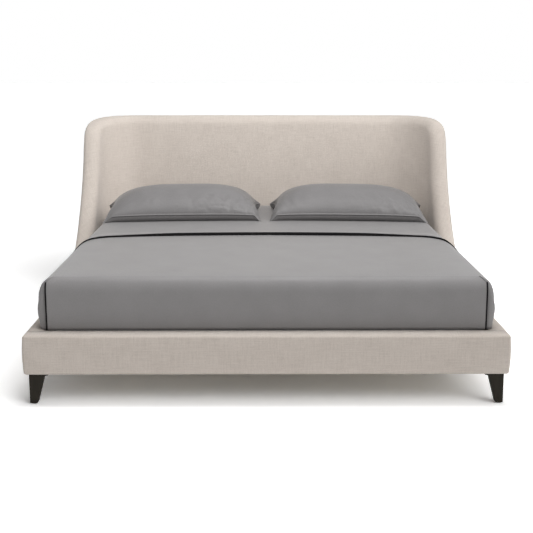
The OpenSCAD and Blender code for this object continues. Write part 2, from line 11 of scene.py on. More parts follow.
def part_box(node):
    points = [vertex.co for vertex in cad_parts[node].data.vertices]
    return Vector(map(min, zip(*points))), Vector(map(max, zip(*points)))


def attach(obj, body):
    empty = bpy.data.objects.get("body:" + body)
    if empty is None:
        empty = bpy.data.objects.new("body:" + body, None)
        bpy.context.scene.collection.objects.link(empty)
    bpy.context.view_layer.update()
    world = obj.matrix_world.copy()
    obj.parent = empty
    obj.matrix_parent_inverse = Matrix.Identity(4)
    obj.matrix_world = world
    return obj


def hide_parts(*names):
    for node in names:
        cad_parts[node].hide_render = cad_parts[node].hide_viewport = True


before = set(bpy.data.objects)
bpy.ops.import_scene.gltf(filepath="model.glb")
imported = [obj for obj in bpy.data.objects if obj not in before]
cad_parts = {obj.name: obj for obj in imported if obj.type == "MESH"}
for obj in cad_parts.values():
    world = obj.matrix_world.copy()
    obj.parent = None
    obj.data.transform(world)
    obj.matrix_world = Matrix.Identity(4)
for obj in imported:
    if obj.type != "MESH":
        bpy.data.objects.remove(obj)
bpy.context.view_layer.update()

# ---------- sizes ----------

MM = 0.001
BACK_LOW, BACK_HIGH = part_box("headboard_cover")
MATTRESS_LOW, MATTRESS_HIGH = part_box("mattress")
COVERLET_LOW, COVERLET_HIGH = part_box("coverlet")
FOOT_PAD_LOW, FOOT_PAD_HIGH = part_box("foot_rail_padding")
DECK_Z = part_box("slat_01")[1].z
FLOOR_GAP = BACK_LOW.z
SIDES = ((-1, "left"), (1, "right"))

# Headboard, as in the CAD model
RAKE = math.radians(7)
BACK_T = 90 * MM
WING_R = 250 * MM
WING_REACH_TOP = 212 * MM
WING_TOP_DROP = 198 * MM
WING_REACH_FOOT = 964 * MM
SWEEP_R = 1205 * MM
WING_NOSE = 70 * MM
BACK_TOP = BACK_HIGH.z
WING_X = BACK_HIGH.x - BACK_T
FLAT_X = WING_X - WING_R
HEAD_Y = BACK_HIGH.y - BACK_T / math.cos(RAKE) - (BACK_TOP - DECK_Z) * math.tan(RAKE)
BEND_R = WING_R + BACK_T / 2
BEND_LENGTH = BEND_R * math.pi / 2
ROLL_PROUD = 14 * MM
ROLL_FRONT_R, ROLL_REAR_R = 56 * MM, 32 * MM
FOOT_ROLL = 0.5


# ---------- mesh helpers ----------

# Steps along a grid to the four corners of one of its faces
QUAD = ((0, 0), (1, 0), (1, 1), (0, 1))


def lerp(a, b, t):
    return a + (b - a) * t


def smooth(t):
    t = min(max(t, 0.0), 1.0)
    return t * t * (3 - 2 * t)


def mesh_object(name, points, faces, materials, uvs=None, face_slots=None):
    """Object from points and faces, turned outward, with one UV per face corner and smooth shading."""
    mesh = bpy.data.meshes.new(name)
    mesh.from_pydata([tuple(p) for p in points], [], faces)
    mesh.validate()
    if uvs:
        layer = mesh.uv_layers.new(name="UVMap")
        layer.data.foreach_set("uv", [c for face in uvs for uv in face for c in uv])
    for material in materials:
        mesh.materials.append(material)
    if face_slots:
        mesh.polygons.foreach_set("material_index", face_slots)
    mesh.polygons.foreach_set("use_smooth", [True] * len(mesh.polygons))
    mesh.update()
    piece = bpy.data.objects.new(name, mesh)
    bpy.context.scene.collection.objects.link(piece)
    face_outward(piece)
    return piece


def apply_modifiers(piece):
    """Bakes the piece's modifiers into its mesh."""
    graph = bpy.context.evaluated_depsgraph_get()
    made = bpy.data.meshes.new_from_object(piece.evaluated_get(graph))
    old = piece.data
    made.name = old.name
    piece.modifiers.clear()
    piece.data = made
    bpy.data.meshes.remove(old)


def subdivide(piece):
    modifier = piece.modifiers.new("smooth", "SUBSURF")
    modifier.levels = 1
    apply_modifiers(piece)


def face_outward(piece):
    grid = bmesh.new()
    grid.from_mesh(piece.data)
    bmesh.ops.recalc_face_normals(grid, faces=grid.faces)
    grid.to_mesh(piece.data)
    grid.free()


def ripple(piece, waves, shift=0.0):
    """Moves the surface in and out by smooth noise, given as pairs of frequency and height."""
    vertices = piece.data.vertices
    moved = []
    for v in vertices:
        p = v.co + Vector((shift, 0, 0))
        swell = sum(noise.noise(p * frequency) * height for frequency, height in waves)
        moved.append(v.co + v.normal * swell)
    for v, p in zip(vertices, moved):
        v.co = p


def solidify(piece, thickness):
    """Gives a sheet its thickness, inward from the surface."""
    modifier = piece.modifiers.new("thickness", "SOLIDIFY")
    modifier.thickness = thickness
    modifier.offset = -1
    apply_modifiers(piece)


def ring_faces(rings, size):
    """Faces of a closed tube, from rings of points that follow each other, size points to a ring."""
    faces = []
    for base in range(0, (rings - 1) * size, size):
        for a in range(size):
            b = (a + 1) % size
            faces.append((base + a, base + b, base + size + b, base + size + a))
    last = (rings - 1) * size
    return faces + [tuple(range(size)), tuple(range(last, last + size))]


def tube(points, radii, tall=1.0):
    """Points and faces of a cord along a list of points, with its ends closed.
    radii gives the radius at each point, and tall stretches the cord's section upward."""
    sides = 8
    made = []
    across = (points[1] - points[0]).orthogonal()
    for i, p in enumerate(points):
        along = (points[min(i + 1, len(points) - 1)] - points[max(i - 1, 0)]).normalized()
        across = (across - along * across.dot(along)).normalized()
        up = along.cross(across)
        for k in range(sides):
            a = math.tau * k / sides
            away = radii[i] * (across * math.cos(a) + up * math.sin(a))
            made.append(p + Vector((away.x, away.y, away.z * tall)))
    return made, ring_faces(len(points), sides)


def box_uv(piece):
    """UVs in metres, each face laid flat along the axis that it faces most."""
    mesh = piece.data
    layer = mesh.uv_layers.get("UVMap") or mesh.uv_layers.new(name="UVMap")
    for face in mesh.polygons:
        n = [abs(c) for c in face.normal]
        axis = n.index(max(n))
        u, v = ((1, 2), (0, 2), (0, 1))[axis]
        for loop in face.loop_indices:
            p = mesh.vertices[mesh.loops[loop].vertex_index].co
            layer.data[loop].uv = (p[u], p[v])


def round_rectangle(w, t, r, inset, cuts):
    """Points round a rectangle of w by t whose corners have a radius r, all set in by an inset."""
    made = []
    for x, y, start in ((r, r, 0), (w - r, r, 90), (w - r, t - r, 180), (r, t - r, 270)):
        for i in range(cuts + 1):
            a = math.radians(start + 90 * i / cuts)
            made.append(Vector((x - (r - inset) * math.cos(a), y - (r - inset) * math.sin(a), 0)))
    return made


def bezier(p0, p1, p2, p3, count):
    """Points of a cubic curve, its first point left out."""
    made = []
    for i in range(1, count + 1):
        t = i / count
        made.append(p0 * (1 - t) ** 3 + p1 * 3 * t * (1 - t) ** 2 + p2 * 3 * t * t * (1 - t) + p3 * t ** 3)
    return made


# ---------- materials ----------

def linear(display):
    """Linear colour from three 8-bit display values."""
    shares = [c / 255 for c in display]
    return tuple(c / 12.92 if c <= 0.04045 else ((c + 0.055) / 1.055) ** 2.4 for c in shares) + (1.0,)


class Nodes:
    """A node tree and short calls that add and link nodes."""

    def __init__(self, owner, output):
        owner.use_nodes = True
        self.tree = owner.node_tree
        self.tree.nodes.clear()
        self.out = self.add(output)

    def put(self, value, socket):
        if isinstance(value, bpy.types.NodeSocket):
            self.tree.links.new(value, socket)
        else:
            socket.default_value = value

    def add(self, kind, values=None, **settings):
        """New node with its settings, and values or links for the inputs that values names or numbers."""
        node = self.tree.nodes.new("ShaderNode" + kind)
        for setting, value in settings.items():
            setattr(node, setting, value)
        for socket, value in (values or {}).items():
            self.put(value, node.inputs[socket])
        return node

    def math(self, operation, a, b=0.0):
        return self.add("Math", {0: a, 1: b}, operation=operation).outputs[0]

    def sum(self, a, a_weight, b, b_weight):
        return self.math("ADD", self.math("MULTIPLY", a, a_weight), self.math("MULTIPLY", b, b_weight))

    def seen(self):
        """1 for rays of the camera, of reflections and of transmission, and 0 for other light."""
        path = self.add("LightPath").outputs
        seen = self.math("MAXIMUM", path["Is Camera Ray"], path["Is Glossy Ray"])
        return self.math("MAXIMUM", seen, path["Is Transmission Ray"])


class Shader(Nodes):
    """A node material and its Principled shader."""

    def __init__(self, name, roughness, **constants):
        self.material = bpy.data.materials.new(name)
        super().__init__(self.material, "OutputMaterial")
        self.bsdf = self.add("BsdfPrincipled", {"Roughness": roughness})
        self.put(self.bsdf.outputs[0], self.out.inputs["Surface"])
        for socket, value in constants.items():
            self.put(value, self.bsdf.inputs[socket.replace("_", " ")])

    def coords(self, kind, scale):
        """Coordinates of a kind, stretched by a scale along each axis."""
        source = self.add("TexCoord").outputs[kind]
        return self.add("Mapping", {"Vector": source, "Scale": scale}).outputs[0]

    def noise(self, kind, scale, detail=2.0, rough=0.5, warp=0.0):
        values = {"Vector": self.coords(kind, scale), "Scale": 1.0, "Detail": detail,
                  "Roughness": rough, "Distortion": warp}
        return self.add("TexNoise", values).outputs[0]

    def threads(self, count):
        """Height of a plain weave with a number of threads to a metre, from 0 to 1."""
        split = self.add("SeparateXYZ", {0: self.coords("UV", (count, count, 1))})
        across = self.math("SINE", self.math("MULTIPLY", split.outputs[0], math.tau))
        along = self.math("SINE", self.math("MULTIPLY", split.outputs[1], math.tau))
        return self.math("MULTIPLY_ADD", self.math("MULTIPLY", across, along), 0.5)

    def colour(self, factor, stops):
        """Colours the surface by a factor, along a ramp of places and colours."""
        node = self.add("ValToRGB", {0: factor})
        elements = node.color_ramp.elements
        for i, (place, colour) in enumerate(stops):
            element = elements[i] if i < 2 else elements.new(place)
            element.position = place
            element.color = linear(colour)
        self.put(node.outputs[0], self.bsdf.inputs["Base Color"])

    def rough(self, factor, weight, least):
        value = self.math("ADD", self.math("MULTIPLY", factor, weight), least)
        self.put(value, self.bsdf.inputs["Roughness"])

    def bump(self, height, distance):
        node = self.add("Bump", {"Distance": distance, "Height": height})
        self.put(node.outputs[0], self.bsdf.inputs["Normal"])


def linen_material(name, pale, mid, dark):
    """Heathered weave: slubs along both threads, fine flecks and a plain weave."""
    s = Shader(name, 0.9, Sheen_Weight=0.2, Sheen_Roughness=0.5, Specular_IOR_Level=0.25)
    warp = s.noise("UV", (170, 12, 1), 4.0, 0.7)
    weft = s.noise("UV", (12, 170, 1), 4.0, 0.7)
    fleck = s.noise("UV", (150, 150, 1), 3.0, 0.65)
    cloud = s.noise("UV", (9, 9, 1), 3.0, 0.5)
    slubs = s.sum(warp, 0.5, weft, 0.5)
    tone = s.sum(slubs, 0.63, s.sum(fleck, 0.25, cloud, 0.12), 1.0)
    s.colour(tone, [(0.37, dark), (0.50, mid), (0.63, pale)])
    s.bump(s.sum(slubs, 0.8, s.threads(520), 0.5), 0.9 * MM)
    s.rough(slubs, 0.12, 0.84)
    return s.material


def cotton_material(name, pale, dark, roughness=0.5, gloss=0.5, sheen=0.15):
    """Smooth cotton with a low sheen, a fine weave and a faint unevenness."""
    s = Shader(name, roughness, Sheen_Weight=sheen, Sheen_Roughness=0.35, Specular_IOR_Level=gloss)
    cloud = s.noise("UV", (7, 7, 1), 4.0, 0.6)
    grain = s.noise("UV", (180, 180, 1), 2.0, 0.6)
    s.colour(s.sum(cloud, 0.5, grain, 0.5), [(0.35, dark), (0.65, pale)])
    s.bump(s.sum(cloud, 1.5, s.threads(1400), 0.3), 0.6 * MM)
    return s.material


def wood_material(name, pale, dark, roughness, scale, gloss=0.4):
    """Long grain with rings and fine pores."""
    s = Shader(name, roughness, Specular_IOR_Level=gloss)
    rings = s.noise("Object", scale, 6.0, 0.6, 1.2)
    pores = s.noise("Object", tuple(c * 14 for c in scale))
    s.colour(s.sum(rings, 0.75, pores, 0.25), [(0.38, dark), (0.62, pale)])
    s.bump(pores, 0.4 * MM)
    return s.material


def metal_material(name, colour, worn, roughness, metallic):
    s = Shader(name, roughness, Metallic=metallic)
    s.colour(s.noise("Object", (30, 30, 30), 5.0, 0.6), [(0.4, colour), (0.75, worn)])
    grain = s.noise("Object", (900, 900, 900))
    s.rough(grain, 0.2, roughness - 0.1)
    s.bump(grain, 0.2 * MM)
    return s.material


def felt_material(name, pale, dark):
    s = Shader(name, 0.95, Sheen_Weight=0.3)
    fibres = s.noise("Object", (600, 600, 600), 4.0, 0.7)
    s.colour(fibres, [(0.35, dark), (0.65, pale)])
    s.bump(fibres, 0.6 * MM)
    return s.material


PINE_COLOURS = ((208, 196, 174), (180, 166, 142))
LINEN = linen_material("linen_weave", (213, 204, 195), (203, 193, 184), (189, 179, 170))
COTTON = cotton_material("grey_cotton_weave", (132, 130, 130), (124, 122, 122))
# The pillows' cotton is the coverlet's grey made darker: painted shade, for pillows that face the light less
SHADED_PILLOW_COTTON = cotton_material("grey_cotton_darkened_for_pillow_shade", (112, 110, 110), (104, 102, 102))
# Charcoal for the cord at the coverlet's head edge and slits: painted shadow of the gap under the head edge
# and inside the slits, shaped as piping
CORD_SHADE = cotton_material("charcoal_cord_painted_shade", (26, 25, 26), (18, 17, 18), 0.9, 0.1, 0.0)
DUST_COVER = cotton_material("black_dust_cover", (52, 50, 50), (36, 35, 35))
TICKING = linen_material("white_ticking", (240, 238, 232), (232, 229, 222), (220, 217, 209))
DARK_WOOD = wood_material("dark_stained_wood", (40, 36, 29), (27, 24, 18), 0.6, (60, 60, 6), 0.15)
PINE = wood_material("planed_pine", *PINE_COLOURS, 0.6, (3, 40, 40))
PINE_LONG = wood_material("planed_pine_long", *PINE_COLOURS, 0.6, (40, 3, 40))
PLYWOOD = wood_material("bare_plywood", (214, 184, 140), (186, 152, 108), 0.65, (9, 9, 50))
STEEL = metal_material("zinc_steel", (186, 188, 191), (164, 166, 170), 0.35, 1.0)
BLACK_STEEL = metal_material("black_powder_coat", (42, 42, 44), (54, 54, 56), 0.5, 0.0)
FELT = felt_material("felt_pad", (96, 93, 90), (70, 68, 66))


def dress(material, *nodes):
    """Gives CAD nodes, whose shapes stay, a material."""
    for node in nodes:
        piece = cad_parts[node]
        if not piece.material_slots:
            piece.data.materials.append(material)
        for slot in piece.material_slots:
            slot.material = material


def settle(piece, body, node=None):
    """Puts a piece on its body and, where a CAD node is given, in place of that node."""
    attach(piece, body)
    if node:
        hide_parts(node)


# ---------- headboard ----------

def back_point(s, z, d):
    """Point of the headboard at unfolded distance s, height z and depth d behind the front."""
    side = 1 if s >= 0 else -1
    run = abs(s) - FLAT_X
    if run <= 0:
        x, y = abs(s), d
    elif run <= BEND_LENGTH:
        angle = run / BEND_R
        x = FLAT_X + (WING_R + d) * math.sin(angle)
        y = -WING_R + (WING_R + d) * math.cos(angle)
    else:
        x = FLAT_X + WING_R + d
        y = -WING_R - (run - BEND_LENGTH)
    return Vector((side * x, HEAD_Y + y / math.cos(RAKE) + (z - DECK_Z) * math.tan(RAKE), z))


def sweep_circle():
    """Centre of the sweep of the wings, seen from the side, through its top and its foot."""
    top = Vector((HEAD_Y - WING_REACH_TOP, BACK_TOP - WING_TOP_DROP))
    foot = Vector((HEAD_Y - WING_REACH_FOOT, FLOOR_GAP))
    chord = foot - top
    along = chord.normalized()
    rise = math.sqrt(SWEEP_R ** 2 - chord.length_squared / 4)
    return (top + foot) / 2 + rise * Vector((along.y, -along.x))


SWEEP_C = sweep_circle()


def sweep_s(z):
    """Unfolded distance of a wing's edge at a height."""
    y = SWEEP_C.x + math.sqrt(SWEEP_R ** 2 - (z - SWEEP_C.y) ** 2)
    leaning = (y - HEAD_Y - (z - DECK_Z) * math.tan(RAKE)) * math.cos(RAKE)
    return FLAT_X + BEND_LENGTH - WING_R - leaning


# The headboard's top corner: where it starts, unfolded, how far down it ends, and how full its curve is
CORNER_START = 950 * MM
CORNER_DROP = 192 * MM
CORNER_FULL = 0.82
CORNER_SOFT = 0.76
# Rows of the upright edge at a wing's foot, and of the panels
EDGE_ROWS = 16
PANEL_FOOT_Z = FLOOR_GAP + 6 * MM


def half_outline():
    """Free edge of the right half, unfolded, from the top of the middle to the foot of the wing."""
    corner_z = BACK_TOP - CORNER_DROP
    nose_z = FLOOR_GAP + WING_NOSE + 28 * MM
    nose_s = sweep_s(FLOOR_GAP + WING_NOSE) + 3 * MM
    points = [Vector((CORNER_START * i / 24, BACK_TOP - 2.5 * MM)) for i in range(25)]
    low = Vector((sweep_s(corner_z), corner_z))
    step = 5 * MM
    down = Vector((sweep_s(corner_z - step) - low.x, -step)).normalized()
    reach = Vector((CORNER_FULL * (low.x - CORNER_START), 0))
    points += bezier(points[-1], points[-1] + reach, low - CORNER_SOFT * CORNER_DROP * down, low, 18)
    rows = 34
    heights = [lerp(corner_z, nose_z, i / rows) for i in range(1, rows + 1)]
    points += [Vector((sweep_s(z), z)) for z in heights]
    start = points[-1]
    lean = Vector((sweep_s(nose_z - step) - start.x, -step)).normalized()
    nose = Vector((nose_s, FLOOR_GAP + 45 * MM))
    points += bezier(start, start + 22 * MM * lean, nose + Vector((0, 16 * MM)), nose, 6)
    points += [Vector((nose_s, lerp(nose.y, PANEL_FOOT_Z, i / EDGE_ROWS))) for i in range(1, EDGE_ROWS + 1)]
    return points


def rim_profile(size):
    """Pairs of inset and depth round the padded edge, from the front face to the back panel.
    The roll stands a little proud of the back panel."""
    front_r, rear_r = ROLL_FRONT_R * size, ROLL_REAR_R * size
    proud = ROLL_PROUD * size
    pairs = [(front_r + 16 * MM * size, 0.0)]
    for i in range(7):
        a = math.pi / 2 * i / 6
        pairs.append((front_r * (1 - math.sin(a)), front_r * (1 - math.cos(a))))
    for i in range(6):
        a = math.pi / 2 * i / 5
        pairs.append((rear_r * (1 - math.cos(a)), BACK_T + proud - rear_r * (1 - math.sin(a))))
    slope = 90 * MM * size
    seam = ((12, 0), (26, 0), (40, 0), (45, 0), (48, 0.6), (50, 3.2), (52, 0.6), (55, -0.6), (90, 0))
    for along, sink in seam:
        run = along * MM * size
        pairs.append((rear_r + run, BACK_T + proud * (1 - smooth(run / slope)) - sink * MM))
    return pairs


def make_headboard():
    half = half_outline()
    outline = [Vector((-p.x, p.y)) for p in reversed(half[1:])] + half
    count = len(outline)
    points, faces, uvs, slots = [], [], [], []

    def new_point(s, z, depth):
        points.append(back_point(s, z, depth))
        return len(points) - 1

    def add_rows(rows, hidden=()):
        """Adds the faces between rows. A place in a row is the number of a point and its UV.
        hidden holds the places across a row where the dust cover lies."""
        for left, right in zip(rows, rows[1:]):
            for j in range(len(left) - 1):
                corners = (left[j], left[j + 1], right[j + 1], right[j])
                faces.append(tuple(corner for corner, _ in corners))
                uvs.append([tuple(uv) for _, uv in corners])
                slots.append(1 if j in hidden else 0)

    # The rolled rim. panel_edges holds its inner ends, at the front and at the back.
    rim, panel_edges = [], []
    for k, p in enumerate(outline):
        tangent = (outline[min(k + 1, count - 1)] - outline[max(k - 1, 0)]).normalized()
        inward = Vector((tangent.y, -tangent.x))
        pairs = rim_profile(lerp(FOOT_ROLL, 1.0, smooth((p.y - FLOOR_GAP - 60 * MM) / (260 * MM))))
        row, length, before = [], 0.0, pairs[0]
        for inset, depth in pairs:
            length += math.hypot(inset - before[0], depth - before[1])
            before = (inset, depth)
            q = p + inward * inset
            if k in (0, count - 1):
                q.y = p.y
            row.append((new_point(q.x, q.y, depth), p + inward * (pairs[0][0] - length)))
        rim.append(row)
        panel_edges.append((p + inward * pairs[0][0], p + inward * pairs[-1][0]))
    add_rows(rim)

    columns = range(EDGE_ROWS, count - EDGE_ROWS)
    bottoms = []
    for j, depth in ((0, 0.0), (-1, BACK_T)):
        grid = []
        for k in columns:
            top = panel_edges[k][j]
            column = [(rim[k][j][0], top)]
            for r in range(1, EDGE_ROWS + 1):
                if k == columns[0]:
                    point = rim[k - r][j][0]
                elif k == columns[-1]:
                    point = rim[k + r][j][0]
                else:
                    point = new_point(top.x, lerp(top.y, PANEL_FOOT_Z, r / EDGE_ROWS), depth)
                column.append((point, (top.x, points[point].z)))
            grid.append(column)
        add_rows(grid)
        bottoms.append([column[-1][0] for column in grid])

    # The underside, with its dust cover
    last = len(rim[0]) - 1
    under = []
    for c, k in enumerate(columns):
        if k in (columns[0], columns[-1]):
            row = [point for point, _ in rim[-1 if c else 0][1:last]]
        else:
            x = panel_edges[k][0].x
            row = [new_point(x, FLOOR_GAP, BACK_T * j / last) for j in range(1, last)]
        row = [bottoms[0][c], *row, bottoms[1][c]]
        under.append([(i, (points[i].x, points[i].y)) for i in row])
    add_rows(under, range(1, last - 1))

    piece = mesh_object("headboard_upholstery", points, faces, (LINEN, DUST_COVER), uvs, slots)
    subdivide(piece)
    ripple(piece, [(3.1, 1.2 * MM), (9.0, 0.5 * MM)])
    settle(piece, "frame", "headboard_cover")


# ---------- rails ----------

RAIL_EDGE_R = 11 * MM
RAIL_EDGE_CUTS = 4
RAIL_STEP = 45 * MM
RAIL_CROWN = 4.5 * MM


def rounded_stops(low, high, r_low, r_high):
    """Grid lines from low to high, close together where an edge of the given radius is round."""
    def near(r):
        steps = range(RAIL_EDGE_CUTS + 1 if r else 1)
        return [r * (1 - math.tan(math.pi / 4 * (1 - i / RAIL_EDGE_CUTS))) for i in steps]
    start = [low + e for e in near(r_low)]
    end = [high - e for e in reversed(near(r_high))]
    cuts = max(1, round((end[0] - start[-1]) / RAIL_STEP))
    return start + [lerp(start[-1], end[0], i / cuts) for i in range(1, cuts)] + end


def pad_rail(rail, end, open_side, square, shape):
    """Padding round a rail, open on one side: a round-edged skin and a flat one against the timber.
    A side is an axis and whether it is the high end. The open side and the square one keep sharp edges.
    shape(point, outward) moves points of the outer skin."""
    low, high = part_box(rail + "_padding" + end)
    core_low, core_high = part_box(rail + end)
    sharp = (open_side, square)
    r_low, r_high = [[0 if (a, far) in sharp else RAIL_EDGE_R for a in range(3)] for far in (False, True)]
    stops = [rounded_stops(low[a], high[a], r_low[a], r_high[a]) for a in range(3)]
    outer, inner, index = [], [], {}

    def vertex(key):
        if key not in index:
            index[key] = len(outer)
            p = Vector([stops[a][key[a]] for a in range(3)])
            middle = Vector([min(max(p[a], low[a] + r_low[a]), high[a] - r_high[a]) for a in range(3)])
            away = (p - middle).normalized()
            outer.append(shape(middle + away * RAIL_EDGE_R if away.length > 0 else p, away))
            shares = [(p[a] - low[a]) / (high[a] - low[a]) for a in range(3)]
            inner.append([lerp(core_low[a], core_high[a], shares[a]) for a in range(3)])
        return index[key]

    quads = []
    last = [len(s) - 1 for s in stops]
    for axis, far in [(axis, far) for axis in range(3) for far in (False, True)]:
        if (axis, far) == open_side:
            continue
        u, v = [a for a in range(3) if a != axis]
        for a in range(last[u]):
            for b in range(last[v]):
                corners = [{axis: last[axis] * far, u: a + da, v: b + db} for da, db in QUAD]
                quads.append(tuple(vertex((c[0], c[1], c[2])) for c in corners))
    edges = Counter(frozenset(edge) for quad in quads for edge in zip(quad, quad[1:] + quad[:1]))
    count = len(outer)
    faces = quads + [tuple(i + count for i in quad) for quad in quads]
    faces += [(a, b, b + count, a + count) for (a, b), uses in edges.items() if uses == 1]
    piece = mesh_object(rail + "_upholstery" + end, outer + inner, faces, [LINEN])
    box_uv(piece)
    settle(piece, "frame", rail + "_padding" + end)


def crowned(p, outward):
    """Crowns a rail's outer faces between their edges and gives them a hand-made unevenness."""
    share = (p.z - FOOT_PAD_LOW.z) / (FOOT_PAD_HIGH.z - FOOT_PAD_LOW.z)
    rise = max(0.0, 1 - (2 * share - 1) ** 2)
    sideways = Vector((outward.x, outward.y, 0))
    lift = Vector((0, 0, 0.5 * MM * noise.noise(p * 5 + Vector((7, 0, 0)))))
    return p + sideways * (RAIL_CROWN * rise + 0.6 * MM * noise.noise(p * 6)) + lift


def side_rail_shape(side):
    def shape(p, outward):
        """Crowned too, and hollowed where it passes inside the wing."""
        q = crowned(p, outward)
        bend_y = HEAD_Y + (q.z - DECK_Z) * math.tan(RAKE) - WING_R / math.cos(RAKE)
        if q.y > bend_y:
            reach = max(0.0, WING_R ** 2 - (q.y - bend_y) ** 2)
            q.x = side * min(side * q.x, FLAT_X + math.sqrt(reach) - MM)
        if q.y > bend_y - 700 * MM:
            q.x = side * min(side * q.x, WING_X - 0.5 * MM)
        return q
    return shape


def make_rails():
    pad_rail("foot_rail", "", (1, True), None, crowned)
    for side, word in SIDES:
        pad_rail("side_rail", "_" + word, (0, side < 0), (1, False), side_rail_shape(side))


# ---------- legs ----------

LEG_FOOT_W = 33 * MM
LEG_FLARE_R = 24 * MM
LEG_EDGE_R = 3.2 * MM
GLIDE_T = 3 * MM


def leg_width(top_w, z, neck_z):
    """Width of a leg at a height: slanting to the neck, then flaring out to its head."""
    neck_w = top_w - LEG_FLARE_R
    if z <= neck_z:
        return lerp(LEG_FOOT_W, neck_w, z / neck_z)
    rise = min(z - neck_z, LEG_FLARE_R)
    return top_w - math.sqrt(LEG_FLARE_R ** 2 - rise ** 2)


def make_leg(node, side, front):
    """Leg with rounded edges, its outer corner upright."""
    low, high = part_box(node)
    neck_z = FLOOR_GAP - LEG_FLARE_R - 8 * MM
    corner = Vector((high.x if side > 0 else low.x, low.y if front else high.y, 0))
    out = Vector((side, -1 if front else 1, 0))
    heights = [GLIDE_T + 2 * MM * (1 - math.cos(a)) for a in (0.3, 0.8, 1.57)]
    heights += [lerp(GLIDE_T + 4 * MM, neck_z, i / 12) for i in range(1, 13)]
    heights += [neck_z + LEG_FLARE_R * math.sin(math.pi / 2 * i / 8) for i in range(1, 9)]
    heights += [high.z - MM]
    points = []
    cuts = 4
    for place, z in enumerate(heights):
        w = leg_width(high.x - low.x, z, neck_z)
        t = leg_width(high.y - low.y, z, neck_z)
        tuck = (1.6 * MM, 0.5 * MM, 0.0)[min(place, 2)]
        for p in round_rectangle(w, t, LEG_EDGE_R, tuck, cuts):
            points.append(corner - Vector((out.x * p.x, out.y * p.y, -z)))
    piece = mesh_object("tapered_" + node, points, ring_faces(len(heights), 4 * (cuts + 1)), [DARK_WOOD])
    settle(piece, "frame", node)


def make_legs():
    for side, word in SIDES:
        make_leg("leg_front_" + word, side, True)
        make_leg("leg_rear_" + word, side, False)


# ---------- CAD nodes that keep their shape ----------

def each(*stems, ends=("left", "right")):
    return [stem + end for stem in stems for end in ends]


def dress_frame():
    numbers = ("1", "2", "3")
    slats = [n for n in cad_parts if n.startswith("slat_") and "ledger" not in n]
    dress(PINE, "headboard_top_rail", "headboard_bottom_rail", "foot_rail", *slats)
    dress(PINE_LONG, "centre_beam", *each("headboard_post_", "wing_block_", "side_rail_", "slat_ledger_"))
    dress(PLYWOOD, "headboard_shell", "headboard_base_board")
    dress(STEEL, "bracket_bolts", "wing_bolts", "ledger_screws", "leg_plates", "leg_bolts",
          *each("corner_bracket_"), *each("levelling_stem_", ends=numbers))
    dress(BLACK_STEEL, "beam_bracket_foot", "beam_bracket_head", *each("centre_leg_", ends=numbers))
    dress(FELT, "glides", *each("levelling_pad_", ends=numbers))


# ---------- mattress and bedding ----------

def superellipse(t, n):
    """Point at a parameter from 0 to 1 along a quarter of a squarish ellipse, from (0, 1) to (1, 0)."""
    a = math.pi / 2 * t
    return math.sin(a) ** (2 / n), max(0.0, math.cos(a)) ** (2 / n)


def skirted(name, columns, rows, levels, top_point, skirt_point, fans, material, bottom_point=None):
    """Grid with a skirt that hangs from its edges.
    top_point(i, j) gives the grid. skirt_point(i, j, turn, extra, k) gives level k of the skirt, where turn
    is the direction in degrees and extra the station's own data. fans gives the (turn, extra) stations at the
    end of each side. With three of them, the skirt leaves out the side at row 0."""
    places = [(i, j) for j in range(rows + 1) for i in range(columns + 1)]
    points = [top_point(i, j) for i, j in places]

    def at(i, j):
        return j * (columns + 1) + i

    faces = []
    for i, j in places:
        if i < columns and j < rows:
            faces.append((at(i, j), at(i, j + 1), at(i + 1, j + 1), at(i + 1, j)))
    sides = [[(0, j, 180) for j in range(rows + 1)], [(i, rows, 270) for i in range(columns + 1)],
             [(columns, j, 360) for j in range(rows, -1, -1)], [(i, 0, 450) for i in range(columns, -1, -1)]]
    stations = []
    for side, fan in zip(sides, fans):
        stations += [(*place, None) for place in side]
        stations += [(*side[-1][:2], *station) for station in fan]
    count = len(stations)
    rings = [[at(i, j) for i, j, _, _ in stations]]
    for k in range(1, levels + 1):
        rings.append(list(range(len(points), len(points) + count)))
        points += [skirt_point(*station, k) for station in stations]
    if bottom_point:
        base = len(points)
        points += [bottom_point(i, j) for i, j in places]
        faces += [tuple(base + corner for corner in face) for face in faces]
        rings.append([base + corner for corner in rings[0]])
    for upper, lower in zip(rings, rings[1:]):
        for a in range(count if len(fans) == len(sides) else count - 1):
            b = (a + 1) % count
            faces.append(tuple(dict.fromkeys((upper[a], lower[a], lower[b], upper[b]))))
    return mesh_object(name, points, faces, [material])


def level(p):
    """Surface without hills or dips."""
    return 0.0


